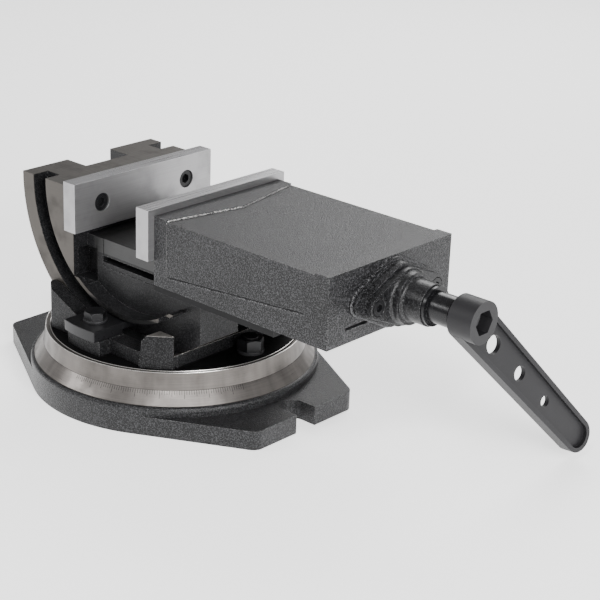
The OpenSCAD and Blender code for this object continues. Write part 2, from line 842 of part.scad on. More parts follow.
module crank_handle() {
    color([0.28, 0.28, 0.3]) translate([0, 0, screw_z]) difference() {
        union() {
            rod_x(hub_x, hub_len, hub_r);
            // Arm in the crank's direction: its face looks along +X and leans out
            rotate([-crank_dir, 0, 0]) translate([hub_x + arm_t + arm_root_x, 0, 0])
                rotate([0, 0, -crank_lean]) rotate([90, 0, 90]) crank_arm();
        }
        rod_x(hub_x + hub_len, arm_t, hub_r + arm_root_w);
        translate([hub_x - through, 0, 0]) rotate([0, 90, 0]) rotate(30)
            cylinder(h = hub_len + 2 * through, r = hex_r(hex_af + 2 * hex_gap), $fn = 6);
    }
}

base_casting();
pivot_bush();
swivel_table();
swivel_lock_bolts();
swivel_lock_washers();
swivel_lock_nuts();
toe_clamp_front();
toe_clamp_rear();
toe_clamp_bolts();
toe_clamp_washers();
tilt_body();
fixed_jaw_plate();
fixed_jaw_screws();
screw_nut();
screw_nut_bolts();
moving_jaw();
moving_jaw_plate();
moving_jaw_screws();
keeper_front();
keeper_rear();
keeper_screws();
bearing_cap();
bearing_cap_screws();
inner_thrust_washer();
outer_thrust_washer();
lead_screw();
thrust_collar();
collar_set_screws();
crank_handle();
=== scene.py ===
"""Looks of the tilting and swivelling machine vise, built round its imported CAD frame.

Lengths in the classes are millimetres and turn into metres with MM. Every piece stands in
the frame of the CAD: +X along the screw to the crank, +Y along the jaws, +Z up.
"""

import json
import logging
import math
import random
from dataclasses import dataclass
from enum import Enum
from typing import Any, Callable, Optional, Sequence, Union

import bmesh
import bpy
from mathutils import Matrix, Vector


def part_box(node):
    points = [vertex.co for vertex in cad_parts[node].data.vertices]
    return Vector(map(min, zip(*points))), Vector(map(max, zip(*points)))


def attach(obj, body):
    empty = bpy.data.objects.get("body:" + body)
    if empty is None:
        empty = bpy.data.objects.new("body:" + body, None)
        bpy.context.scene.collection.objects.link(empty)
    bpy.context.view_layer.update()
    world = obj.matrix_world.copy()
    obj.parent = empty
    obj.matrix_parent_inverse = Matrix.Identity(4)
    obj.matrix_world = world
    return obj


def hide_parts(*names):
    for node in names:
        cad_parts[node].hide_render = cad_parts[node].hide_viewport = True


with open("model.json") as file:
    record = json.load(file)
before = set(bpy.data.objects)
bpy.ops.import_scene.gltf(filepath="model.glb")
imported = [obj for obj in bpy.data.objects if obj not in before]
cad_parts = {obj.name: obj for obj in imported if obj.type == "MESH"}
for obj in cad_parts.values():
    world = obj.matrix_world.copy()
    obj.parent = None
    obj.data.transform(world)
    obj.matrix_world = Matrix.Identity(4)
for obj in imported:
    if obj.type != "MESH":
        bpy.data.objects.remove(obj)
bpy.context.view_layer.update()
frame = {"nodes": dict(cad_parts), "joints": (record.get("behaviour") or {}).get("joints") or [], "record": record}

LOG = logging.getLogger("vise")
MM = 0.001
Colour = tuple[float, float, float]
Point = tuple[float, float, float]

# Sockets of a Mix node that mixes colours
MIX_FACTOR, MIX_BELOW, MIX_ABOVE = 0, 6, 7
MIX_RESULT = 2
NOISE_MIDDLE = 0.5
BUMP_STRENGTH = 0.8
# How the edge mask samples and where it starts and fills
EDGE_SAMPLES = 4
EDGE_RANGE = (0.02, 0.2)
# How the edges of CAD nodes are broken
WELD_GAP = 2e-6
FLAT_ANGLE = math.radians(0.6)
BEVEL_ANGLE = math.radians(28)
BEVEL_SEGMENTS = 3
SMOOTH_ANGLE = math.radians(35)


class Body(str, Enum):
    """The rigid bodies that pieces ride on."""

    BASE = "base"
    TABLE = "table"
    SLIDE = "slide"
    SCREW = "screw"


class Slot(str, Enum):
    """The record's material slots; nothing in this script uses them."""

    BASE = "base_paint"
    TABLE = "table_paint"
    JAW = "jaw_paint"
    SCREW = "screw_steel"


class Axis(Enum):
    """The axes that turned or ground marks follow, by index."""

    X = 0
    Y = 1
    Z = 2


# Shader maths


class Signal:
    """A socket of a shader, with arithmetic that adds the nodes it needs."""

    def __init__(self, graph: "Graph", socket: bpy.types.NodeSocket) -> None:
        """Wraps an output socket of a graph."""
        self.graph = graph
        self.socket = socket

    def _combine(self, operation: str, first: Any, second: Any) -> "Signal":
        """Joins two operands with the node that suits their kind.

        Args:
            operation: ADD, SUBTRACT, MULTIPLY, DIVIDE or another Math operation.
            first: The left operand.
            second: The right operand.

        Returns:
            The result.
        """
        kinds = {item.socket.type for item in (first, second) if isinstance(item, Signal)}
        if "RGBA" in kinds:
            made = self.graph.node(
                "Mix",
                {"data_type": "RGBA", "blend_type": operation},
                {MIX_FACTOR: 1.0, MIX_BELOW: spread(first, 4), MIX_ABOVE: spread(second, 4)},
            )
            return Signal(self.graph, made.outputs[MIX_RESULT])
        kind, size = ("VectorMath", 3) if "VECTOR" in kinds else ("Math", 1)
        made = self.graph.node(
            kind, {"operation": operation}, {0: spread(first, size), 1: spread(second, size)}
        )
        return Signal(self.graph, made.outputs[0])

    def __add__(self, other: Any) -> "Signal":
        """Sum."""
        return self._combine("ADD", self, other)

    def __radd__(self, other: Any) -> "Signal":
        """Sum, reflected."""
        return self._combine("ADD", other, self)

    def __sub__(self, other: Any) -> "Signal":
        """Difference."""
        return self._combine("SUBTRACT", self, other)

    def __rsub__(self, other: Any) -> "Signal":
        """Difference, reflected."""
        return self._combine("SUBTRACT", other, self)

    def __mul__(self, other: Any) -> "Signal":
        """Product."""
        return self._combine("MULTIPLY", self, other)

    def __rmul__(self, other: Any) -> "Signal":
        """Product, reflected."""
        return self._combine("MULTIPLY", other, self)

    def __pow__(self, other: Any) -> "Signal":
        """Power."""
        return self._combine("POWER", self, other)

    def __rpow__(self, other: Any) -> "Signal":
        """Power, reflected."""
        return self._combine("POWER", other, self)

    def __abs__(self) -> "Signal":
        """Distance from zero."""
        return self._combine("ABSOLUTE", self, 0.0)

    def most(self, other: Any) -> "Signal":
        """The larger of two values."""
        return self._combine("MAXIMUM", self, other)

    def bearing(self, other: "Signal") -> "Signal":
        """The angle in radians from this direction towards the other one."""
        return self._combine("ARCTAN2", other, self)

    def away(self, other: "Signal") -> "Signal":
        """The distance from an axis, given both components across it."""
        return (self**2.0 + other**2.0) ** 0.5

    def swing(self, amount: float) -> "Signal":
        """A noise as a swing about zero."""
        return (self - NOISE_MIDDLE) * amount

    def step_mm(self, low: float, high: float) -> "Signal":
        """The soft step of a length in metres, between two limits in millimetres."""
        return self.step(low * MM, high * MM)

    def step(self, low: float, high: float) -> "Signal":
        """A soft step that rises from 0 at low to 1 at high.

        Args:
            low: The value where it starts.
            high: The value where it ends; below low, the step falls.

        Returns:
            A value from 0 to 1.
        """
        if low > high:
            return 1.0 - self.step(high, low)
        made = self.graph.node(
            "MapRange",
            {"interpolation_type": "SMOOTHSTEP"},
            {"Value": self, "From Min": low, "From Max": high},
        )
        return Signal(self.graph, made.outputs[0])


def spread(value: Any, size: int) -> Any:
    """Makes a plain number fit a colour or vector socket.

    Args:
        value: A signal, a number or a tuple.
        size: 1 for a value socket, 3 for a vector, 4 for a colour.

    Returns:
        What the socket takes.
    """
    if isinstance(value, Signal) or size == 1:
        return value
    parts = tuple(value) if isinstance(value, (tuple, list)) else (value,) * 3
    return (*parts[:3], 1.0) if size == 4 else parts[:3]


Amount = Union[float, Signal]
Paint = Union[Colour, Signal]


class Graph:
    """The node tree of one material."""

    def __init__(self, name: str) -> None:
        """Starts an empty tree.

        Args:
            name: The material's name.
        """
        self.material = bpy.data.materials.new(name)
        self.material.use_nodes = True
        self.tree = self.material.node_tree
        self.tree.nodes.clear()
        self._place: Optional[Signal] = None

    def node(
        self,
        kind: str,
        settings: Optional[dict[str, Any]] = None,
        inputs: Optional[dict[Union[str, int], Any]] = None,
    ) -> bpy.types.Node:
        """Adds a node.

        Args:
            kind: The node's type without its ShaderNode prefix.
            settings: Its properties, set before its sockets.
            inputs: Values or signals for its sockets, by name or number.

        Returns:
            The node.
        """
        made = self.tree.nodes.new("ShaderNode" + kind)
        for key, value in (settings or {}).items():
            setattr(made, key, value)
        for key, value in (inputs or {}).items():
            if isinstance(value, Signal):
                self.tree.links.new(value.socket, made.inputs[key])
            else:
                made.inputs[key].default_value = value
        return made

    @property
    def place(self) -> Signal:
        """The point on the object, in metres in the frame of the CAD.

        Returns:
            Its vector.
        """
        if self._place is None:
            self._place = Signal(self, self.node("TexCoord").outputs["Object"])
        return self._place

    def parts(self, point: Optional[Signal] = None) -> list[Signal]:
        """X, Y and Z of a point, or of the place on the object."""
        made = self.node("SeparateXYZ", None, {0: point or self.place})
        return [Signal(self, made.outputs[i]) for i in range(3)]

    def vector(self, x: Amount, y: Amount, z: Amount) -> Signal:
        """A vector of three amounts."""
        return Signal(self, self.node("CombineXYZ", None, {0: x, 1: y, 2: z}).outputs[0])

    def noise(self, scale: float, detail: float = 2.0, point: Optional[Signal] = None) -> Signal:
        """Smooth noise.

        Args:
            scale: Waves to the metre.
            detail: Octaves.
            point: Where it is read, or none for the place on the object.

        Returns:
            A value that is mostly from 0.3 to 0.7.
        """
        made = self.node(
            "TexNoise", None, {"Vector": point or self.place, "Scale": scale, "Detail": detail}
        )
        return Signal(self, made.outputs[0])

    def pebbles(self, scale: float) -> Signal:
        """Rounded cells, as the skin of a hammertone paint has.

        Args:
            scale: Cells to the metre.

        Returns:
            The distance to the nearest cell's centre, from 0.
        """
        made = self.node(
            "TexVoronoi", {"feature": "SMOOTH_F1"}, {"Vector": self.place, "Scale": scale}
        )
        return Signal(self, made.outputs[0])

    def mix(self, mask: Amount, below: Paint, above: Paint) -> Signal:
        """A colour between two.

        Args:
            mask: 0 gives below, 1 gives above.
            below: The first colour.
            above: The second colour.

        Returns:
            The colour.
        """
        made = self.node(
            "Mix",
            {"data_type": "RGBA"},
            {MIX_FACTOR: mask, MIX_BELOW: spread(below, 4), MIX_ABOVE: spread(above, 4)},
        )
        return Signal(self, made.outputs[MIX_RESULT])

    def edges(self, radius: float) -> Signal:
        """Where convex and concave edges are.

        Args:
            radius: How far from the edge it reaches, in millimetres.

        Returns:
            0 on flat surfaces, rising towards edges.
        """
        rounded = self.node(
            "Bevel", {"samples": EDGE_SAMPLES}, {"Radius": radius * MM}
        ).outputs[0]
        plain = self.node("NewGeometry").outputs["Normal"]
        made = self.node(
            "VectorMath",
            {"operation": "DOT_PRODUCT"},
            {0: Signal(self, rounded), 1: Signal(self, plain)},
        )
        return (1.0 - Signal(self, made.outputs["Value"])).step(*EDGE_RANGE)


@dataclass(frozen=True)
class Layer:
    """What a finish gives the shader: colour, roughness, metallic and height in millimetres."""

    colour: Paint
    roughness: Amount
    metallic: Amount
    height: Amount

    def under(self, graph: Graph, top: "Layer", mask: Signal) -> "Layer":
        """This layer with another over it.

        Args:
            graph: The node tree.
            top: The layer that covers it.
            mask: 1 where the top layer shows.

        Returns:
            The joined layer.
        """
        return Layer(
            graph.mix(mask, self.colour, top.colour),
            self.roughness + (top.roughness - self.roughness) * mask,
            self.metallic + (top.metallic - self.metallic) * mask,
            self.height + (top.height - self.height) * mask,
        )


# Finishes


@dataclass(frozen=True)
class HammerPaint:
    """Black hammertone enamel over a casting."""

    name: str
    dark: Colour = (0.004, 0.004, 0.0044)
    light: Colour = (0.044, 0.044, 0.0465)
    grain: float = 1200.0
    relief: float = 0.42
    gloss: float = 0.34
    shine: float = 0.3
    # rubbed, rub and rub_reach set the lightened edges: partly worn paint, partly a painted edge highlight
    rubbed: Colour = (0.24, 0.24, 0.24)
    rub: float = 0.85
    rub_reach: float = 0.9
    finer: float = 1.25
    clouds: float = 24.0
    speck: tuple[float, float] = (0.54, 0.7)
    rub_speck: tuple[float, float] = (0.5, 0.66)

    def layer(self, graph: Graph) -> Layer:
        """Pebbled colour and height, with lightened edges that are partly rubbed paint and partly a painted edge
        highlight.

        Args:
            graph: The node tree.

        Returns:
            The layer.
        """
        cells = graph.pebbles(self.grain)
        speckle = graph.noise(self.grain * self.finer, 3.0)
        cloud = graph.noise(self.clouds, 3.0)
        tone = (speckle * 0.85 + cells * 0.35 + cloud.swing(0.12)).step(*self.speck)
        # Lightens rounded edges with the rubbed colour: partly wear, partly a painted edge highlight
        worn = graph.edges(self.rub_reach) * speckle.step(*self.rub_speck)
        enamel = graph.mix(tone, self.dark, self.light)
        return Layer(
            graph.mix(worn * self.rub, enamel, self.rubbed),
            self.gloss + cloud.swing(0.25) + speckle.swing(0.3),
            worn * 0.35,
            (speckle + (1.0 - cells) * 0.6) * self.relief,
        )


@dataclass(frozen=True)
class Turned:
    """Metal turned in a lathe, with marks that run round an axis."""

    name: str
    tone: Colour = (0.26, 0.241, 0.227)
    axis: Axis = Axis.Z
    centre: Point = (0.0, 0.0, 0.0)
    pitch: float = 0.35
    gloss: float = 0.34
    shine: float = 0.5
    metal: float = 0.92
    dulling: float = 0.55
    stained: float = 0.35
    stains: float = 60.0
    # Waves to the metre, waves to the radian and octaves
    blotches: tuple[float, float, float] = (90.0, 9.0, 4.0)
    # The streaks brighten bands round the turn, a painted highlight standing in for the lamps' reflections
    streaks: tuple[float, float, float] = (6.0, 12.0, 2.0)
    ring_waves: tuple[float, float] = (2.5, 2.0)

    def layer(self, graph: Graph) -> Layer:
        """Rings round the axis, blotches, painted highlight streaks and a light oil stain.

        Args:
            graph: The node tree.

        Returns:
            The layer.
        """
        moved = graph.parts(graph.place - self.centre)
        along = moved.pop(self.axis.value)
        radius = moved[0].away(moved[1])
        turn = moved[0].bearing(moved[1])
        fine = (1.0 / (self.pitch * MM), *self.ring_waves)
        rings, blotch, highlight_streak = (
            graph.noise(1.0, octaves, graph.vector(along * out, radius * out, turn * about))
            for out, about, octaves in (fine, self.blotches, self.streaks)
        )
        stain = graph.noise(self.stains, 5.0).step(0.42, 0.68)
        # The streak term is a painted highlight, not a mark of the metal
        shade = 0.62 + rings * 0.4 + blotch.swing(0.4) + highlight_streak.swing(0.6)
        dulled = tuple(part * self.dulling for part in self.tone)
        return Layer(
            graph.mix(stain * self.stained, self.tone, dulled) * shade,
            self.gloss + rings.swing(0.3) + stain * 0.12,
            self.metal,
            rings * 0.03,
        )


@dataclass(frozen=True)
class Ground:
    """Steel or iron ground flat, with straight marks along one axis."""

    name: str
    tone: Colour = (0.48, 0.475, 0.47)
    along: Axis = Axis.Y
    gloss: float = 0.36
    metal: float = 0.9
    stained: float = 0.2
    shine: float = 0.5
    dulling: float = 0.4
    stains: float = 75.0
    waves_across: float = 2600.0
    waves_along: float = 26.0

    def layer(self, graph: Graph) -> Layer:
        """Fine straight marks with light handling stains.

        Args:
            graph: The node tree.

        Returns:
            The layer.
        """
        waves = [self.waves_across] * 3
        waves[self.along.value] = self.waves_along
        x, y, z = graph.parts()
        marks = graph.noise(1.0, 3.0, graph.vector(x * waves[0], y * waves[1], z * waves[2]))
        stain = graph.noise(self.stains, 5.0).step(0.45, 0.75) * self.stained
        dulled = tuple(part * self.dulling for part in self.tone)
        return Layer(
            graph.mix(stain, self.tone, dulled) * (0.78 + marks * 0.42),
            self.gloss + marks.swing(0.35) + stain * 0.2,
            self.metal,
            marks * 0.025,
        )


@dataclass(frozen=True)
class BlackOxide:
    """Blackened steel with an oily sheen and bright worn corners."""

    name: str
    tone: Colour = (0.008, 0.008, 0.009)
    worn: Colour = (0.16, 0.16, 0.165)
    gloss: float = 0.36
    wear: float = 0.5
    shine: float = 0.4
    metal: float = 0.25
    wear_reach: float = 0.5
    mottles: float = 420.0

    def layer(self, graph: Graph) -> Layer:
        """Mottled black with wear at the edges.

        Args:
            graph: The node tree.

        Returns:
            The layer.
        """
        mottle = graph.noise(self.mottles, 4.0)
        worn = graph.edges(self.wear_reach) * mottle.step(0.4, 0.62) * self.wear
        return Layer(
            graph.mix(worn, self.tone, self.worn) * (0.6 + mottle * 0.8),
            self.gloss + mottle.swing(0.35),
            self.metal,
            mottle * 0.03,
        )


@dataclass(frozen=True)
class SatinCoat:
    """The smooth grey powder coat of the crank."""

    name: str
    tone: Colour = (0.0165, 0.016, 0.0178)
    gloss: float = 0.5
    shine: float = 0.35
    metal: float = 0.1
    rubbed: Colour = (0.07, 0.07, 0.074)
    rub: float = 0.35
    rub_reach: float = 0.7
    grains: float = 1500.0
    clouds: float = 38.0

    def layer(self, graph: Graph) -> Layer:
        """A fine even grain with soft clouds.

        Args:
            graph: The node tree.

        Returns:
            The layer.
        """
        grain = graph.noise(self.grains, 2.0)
        cloud = graph.noise(self.clouds, 3.0)
        worn = graph.edges(self.rub_reach) * self.rub
        shade = 0.82 + cloud.swing(0.5) + grain.swing(0.25)
        return Layer(
            graph.mix(worn, self.tone, self.rubbed) * shade,
            self.gloss + grain.swing(0.2),
            self.metal,
            grain * 0.05,
        )


@dataclass(frozen=True)
class Bronze:
    """Turned bronze of the nut, bush and washers."""

    name: str
    tone: Colour = (0.52, 0.34, 0.15)
    aged: Colour = (0.2, 0.12, 0.05)
    gloss: float = 0.3
    metal: float = 0.95
    shine: float = 0.5
    films: float = 160.0
    mark_waves: float = 1900.0

    def layer(self, graph: Graph) -> Layer:
        """Warm metal with a darkened film.

        Args:
            graph: The node tree.

        Returns:
            The layer.
        """
        film = graph.noise(self.films, 5.0)
        marks = graph.noise(self.mark_waves, 2.0)
        return Layer(
            graph.mix(film.step(0.4, 0.7) * 0.6, self.tone, self.aged),
            self.gloss + film * 0.22,
            self.metal,
            marks * 0.03,
        )


Finish = Union[HammerPaint, Turned, Ground, BlackOxide, SatinCoat, Bronze]
Mask = Callable[[Graph], Signal]


def material(finish: Finish, patches: Sequence[tuple[Finish, Mask]] = ()) -> bpy.types.Material:
    """Makes a finish into a material, with other finishes where masks say.

    Args:
        finish: The finish of the whole piece.
        patches: Finishes that lie over it, each with its mask.

    Returns:
        The material.
    """
    graph = Graph(finish.name)
    layer = finish.layer(graph)
    for patch, mask in patches:
        layer = layer.under(graph, patch.layer(graph), mask(graph))
    bump = graph.node(
        "Bump", None, {"Strength": BUMP_STRENGTH, "Distance": MM, "Height": layer.height}
    )
    shader = graph.node(
        "BsdfPrincipled",
        None,
        {
            "Base Color": spread(layer.colour, 4),
            "Roughness": layer.roughness,
            "Metallic": layer.metallic,
            "Specular IOR Level": finish.shine,
            "Normal": Signal(graph, bump.outputs[0]),
        },
    )
    graph.node("OutputMaterial", None, {0: Signal(graph, shader.outputs[0])})
    return graph.material


# Making pieces


def dress_node(name: str, look: bpy.types.Material, edge: float = 0.0) -> None:
    """Gives a CAD node its material, and breaks its edges with modifiers.

    Args:
        name: The node.
        look: Its material.
        edge: Width of the broken edges in millimetres, 0 for none.
    """
    node = frame["nodes"][name]
    node.data.materials.clear()
    node.data.materials.append(look)
    if edge:
        weld = node.modifiers.new("weld", "WELD")
        weld.merge_threshold = WELD_GAP
        flat = node.modifiers.new("flat", "DECIMATE")
        flat.decimate_type = "DISSOLVE"
        flat.angle_limit = FLAT_ANGLE
        bevel = node.modifiers.new("edge", "BEVEL")
        bevel.width = edge * MM
        bevel.segments = BEVEL_SEGMENTS
        bevel.limit_method = "ANGLE"
        bevel.angle_limit = BEVEL_ANGLE
        node.modifiers.new("shade", "WEIGHTED_NORMAL")
    LOG.info("dressed %s with %s", name, look.name)


def make_piece(
    name: str, shape: bmesh.types.BMesh, look: bpy.types.Material, body: Body
) -> bpy.types.Object:
    """Turns a mesh into a piece that rides on a body.

    Args:
        name: The piece's name.
        shape: Its mesh, in metres; it is freed.
        look: Its material.
        body: The body it rides on.

    Returns:
        The piece.
    """
    bmesh.ops.recalc_face_normals(shape, faces=shape.faces)
    data = bpy.data.meshes.new(name)
    shape.to_mesh(data)
    shape.free()
    data.materials.append(look)
    data.shade_smooth()
    data.set_sharp_from_angle(angle=SMOOTH_ANGLE)
    piece = bpy.data.objects.new(name, data)
    bpy.context.scene.collection.objects.link(piece)
    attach(piece, body.value)
    LOG.info("made %s on %s, %d faces", name, body.value, len(data.polygons))
    return piece


def skin_rings(
    shape: bmesh.types.BMesh, rings: Sequence[Sequence[Vector]], closed: bool = False
) -> None:
    """Skins a row of equal rings with quads.

    Args:
        shape: The mesh that it adds to.
        rings: Points in millimetres, the same number in each ring.
        closed: True joins the last ring to the first, otherwise both ends are capped.
    """
    made = [[shape.verts.new(point * MM) for point in ring] for ring in rings]
    pairs = list(zip(made, made[1:]))
    if closed:
        pairs.append((made[-1], made[0]))
    for low, high in pairs:
        for i in range(len(low)):
            j = (i + 1) % len(low)
            shape.faces.new((low[i], low[j], high[j], high[i]))
    if not closed:
        shape.faces.new(made[0][::-1])
        shape.faces.new(made[-1])


def circle(steps: int) -> list[float]:
    """The angles of equal steps round a circle, in radians."""
    return [2 * math.pi * k / steps for k in range(steps)]


def sweep(
    shape: bmesh.types.BMesh,
    path: Sequence[Vector],
    radii: Sequence[float],
    sides: int = 8,
    closed: bool = False,
) -> None:
    """Sweeps a circle along a path.

    Args:
        shape: The mesh that it adds to.
        path: Points in millimetres.
        radii: The circle's radius at each point.
        sides: Corners of the circle.
        closed: True for a loop.
    """
    count = len(path)
    turns = circle(sides)
    rings = []
    side = None
    for i, point in enumerate(path):
        before = path[i - 1] if closed or i else point
        after = path[(i + 1) % count] if closed or i + 1 < count else point
        run = (after - before).normalized()
        if side is None:
            side = run.orthogonal()
        side = (side - run * side.dot(run)).normalized()
        up = run.cross(side)
        rings.append([point + radii[i] * (math.cos(t) * side + math.sin(t) * up) for t in turns])
    skin_rings(shape, rings, closed)


def lathe_x(
    shape: bmesh.types.BMesh, profile: Sequence[tuple[float, float]], height: float, steps: int
) -> None:
    """Turns a closed profile round a line along X.

    Args:
        shape: The mesh that it adds to.
        profile: Corners as x and radius in millimetres.
        height: The line's height.
        steps: Steps round the line.
    """
    rings = []
    for t in circle(steps):
        rings.append([Vector((x, r * math.cos(t), height + r * math.sin(t))) for x, r in profile])
    skin_rings(shape, rings, True)


def between(start: Vector, end: Vector, gap: float) -> list[Vector]:
    """Points along a line about a gap apart, both ends included."""
    count = max(2, round((end - start).length / gap))
    return [start.lerp(end, i / count) for i in range(count + 1)]


def corners(node: str) -> tuple[Vector, Vector]:
    """The lowest and highest corner of a CAD node, in millimetres."""
    low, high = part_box(node)
    return low / MM, high / MM


def joint(name: str) -> dict[str, Any]:
    """The record's entry for a joint."""
    return next(item for item in frame["joints"] if item["name"] == name)


def base_top() -> float:
    """Height of the cone's upper edge, in millimetres."""
    return corners("base_casting")[1].z


def screw_height() -> float:
    """Height of the screw's axis, in millimetres."""
    return joint("screw_turn")["pos_m"][2] / MM


def from_swivel(graph: Graph) -> Signal:
    """The distance from the swivel's axis, in metres."""
    x, y, _ = graph.parts()
    return x.away(y)


def from_pivot(graph: Graph) -> Signal:
    """The distance from the tilt's axis, in metres.

    Args:
        graph: The node tree.

    Returns:
        The distance.
    """
    x, _, z = graph.parts()
    pivot = joint("tilt")["pos_m"]
    return (x - pivot[0]).away(z - pivot[2])


# Sub-assemblies. Their masks fade over a few tenths of a millimetre.

PAINT = HammerPaint("hammertone_enamel")
OXIDE = BlackOxide("black_oxide")
# Darkens thin lines just under the ring and along the cone's foot
DARK_LINE = BlackOxide("thin_dark_line", (0.02, 0.018, 0.016), wear=0.0)


class Assembly:
    """A group of pieces that are built and dressed together."""

    def build(self) -> None:
        """Makes the pieces that the CAD doesn't have, none unless a class says so."""

    def dress(self) -> None:
        """Gives the CAD's nodes their finishes."""
        raise NotImplementedError


@dataclass
class SwivelBase(Assembly):
    """The base with its lugs, graduated cone and bush."""

    cone_foot: float = 96.5
    cone_top: float = 90.1
    cone_height: float = 8.9
    scale_from: int = -88
    scale_to: int = -15
    tick_width: float = 0.26
    tick_rise: float = 0.035
    tick_sink: float = 0.05
    tick_gap: float = 0.3
    tick_lengths: tuple[float, float, float] = (2.7, 3.9, 5.4)
    joint_line: float = 0.3

    def build(self) -> None:
        """Makes the degree scale."""
        engraved = material(BlackOxide("engraved_line", wear=0.0))
        make_piece("degree_scale", self.scale(), engraved, Body.BASE)

    def scale(self) -> bmesh.types.BMesh:
        """Graduation lines down the cone, longer at fives and tens.

        Returns:
            The mesh.
        """
        shape = bmesh.new()
        slope = Vector((self.cone_foot - self.cone_top, 0, -self.cone_height)).normalized()
        out = Vector((-slope.z, 0, slope.x))
        for degree in range(self.scale_from, self.scale_to + 1):
            rank = 2 if degree % 10 == 0 else 1 if degree % 5 == 0 else 0
            start = Vector((self.cone_top, 0, base_top())) + slope * self.tick_gap
            end = start + slope * self.tick_lengths[rank]
            turn = Matrix.Rotation(math.radians(degree), 3, "Z")
            half = Vector((0, self.tick_width / 2, 0))
            low, high = -out * self.tick_sink, out * self.tick_rise
            section = (low - half, low + half, high + half, high - half)
            skin_rings(shape, [[turn @ (p + corner) for corner in section] for p in (start, end)])
        return shape

    def bare(self, graph: Graph) -> Signal:
        """Where the cone is turned bright.

        Args:
            graph: The node tree.

        Returns:
            The mask.
        """
        foot = base_top() - self.cone_height
        inside = from_swivel(graph).step_mm(self.cone_foot + 0.5, self.cone_foot + 0.1)
        return graph.parts()[2].step_mm(foot - 0.1, foot + 0.15) * inside

    def dark_lines(self, graph: Graph) -> Signal:
        """Thin dark lines just under the ring and along the cone's foot.

        Args:
            graph: The node tree.

        Returns:
            The mask.
        """
        z = graph.parts()[2]
        top = base_top()
        foot = (top - self.cone_height) * MM
        under = z.step_mm(top - self.joint_line, top - 0.1)
        return under.most(abs(z - foot).step_mm(0.35, 0.15) * self.bare(graph))

    def dress(self) -> None:
        """Gives the base and bush their finishes."""
        patches = [(Turned("turned_cone"), self.bare), (DARK_LINE, self.dark_lines)]
        dress_node("base_casting", material(PAINT, patches), 0.8)
        dress_node("pivot_bush", material(Bronze("bush_bronze")), 0.3)


@dataclass
class Turntable(Assembly):
    """The swivel table with its lock bolts and toe clamps."""

    ring_height: float = 11.3
    rim_radius: float = 85.4
    rim_corners: tuple[float, float] = (88.2, 85.3)
    rim_bead: float = 0.32
    rim_steps: int = 180
    block_top: float = 63.0
    cradle_radius: float = 99.8
    cradle_half: float = 58.7

    def bare_ring(self, graph: Graph) -> Signal:
        """Where the ring is turned bright.

        Args:
            graph: The node tree.

        Returns:
            The mask.
        """
        top = base_top() + self.ring_height + 0.2
        outside = from_swivel(graph).step_mm(self.rim_radius - 0.2, self.rim_radius)
        return outside * graph.parts()[2].step_mm(top + 0.2, top)

    def shaded_floor(self, graph: Graph) -> Signal:
        """Where the table's floor inside the ring is painted near black, a painted shade.

        Args:
            graph: The node tree.

        Returns:
            The mask.
        """
        top = base_top() + self.ring_height + 0.4
        inside = from_swivel(graph).step_mm(self.rim_radius, self.rim_radius - 0.4)
        return inside * graph.parts()[2].step_mm(top + 0.8, top)

    def rim_beads(self) -> bmesh.types.BMesh:
        """The two polished corners of the ring's rim, with the groove between them.

        Returns:
            The mesh.
        """
        top = base_top() + self.ring_height
        shape = bmesh.new()
        for radius in self.rim_corners:
            path = [Vector((radius * math.cos(t), radius * math.sin(t), top))
                    for t in circle(self.rim_steps)]
            sweep(shape, path, [self.rim_bead] * len(path), closed=True)
        return shape

    def build(self) -> None:
        """Makes the beads of the rim."""
        bright = material(Ground("rim_polish", (0.62, 0.6, 0.58), Axis.Z, 0.3, stained=0.3))
        make_piece("rim_beads", self.rim_beads(), bright, Body.TABLE)

    def bare_cradle(self, graph: Graph) -> Signal:
        """Where the cradle and the blocks' tops are machined.

        Args:
            graph: The node tree.

        Returns:
            The mask.
        """
        x, y, z = graph.parts()
        cradle = from_pivot(graph).step_mm(self.cradle_radius + 0.25, self.cradle_radius + 0.05)
        inside = abs(y).step_mm(self.cradle_half + 0.2, self.cradle_half)
        land = z.step_mm(self.block_top - 0.3, self.block_top - 0.1)
        return (cradle * inside).most(land * x.step_mm(0.0, 1.0))

    def dress(self) -> None:
        """Gives the table, its bolts and its clamps their finishes."""
        # A near-black patch on the floor inside the ring, painted shade
        shade_patch = BlackOxide("shaded_floor", (0.003, 0.003, 0.0032), gloss=0.55, wear=0.1)
        patches = [
            (shade_patch, self.shaded_floor),
            # The ring's turned band is darker than the cone, painted shade on its upright face
            (Turned("turned_ring_shaded", (0.18, 0.166, 0.155)), self.bare_ring),
            (Ground("machined_land", (0.42, 0.4, 0.38), Axis.Y), self.bare_cradle),
        ]
        # The table's hammertone is made darker than the others, painted shade for the table under the tilting body
        table = HammerPaint("table_enamel_shaded", light=(0.03, 0.03, 0.0315), shine=0.15)
        dress_node("swivel_table", material(table, patches), 0.8)
        oxide = material(OXIDE)
        for name in ("swivel_lock_bolts", "swivel_lock_nuts", "toe_clamp_bolts"):
            dress_node(name, oxide, 0.35)
        washers = material(BlackOxide("washer_oxide", (0.03, 0.03, 0.032)))
        for name in ("swivel_lock_washers", "toe_clamp_washers"):
            dress_node(name, washers, 0.25)
        clamp = material(BlackOxide("clamp_oxide", (0.012, 0.012, 0.013), gloss=0.34))
        for name in ("toe_clamp_front", "toe_clamp_rear"):
            dress_node(name, clamp, 2.2)


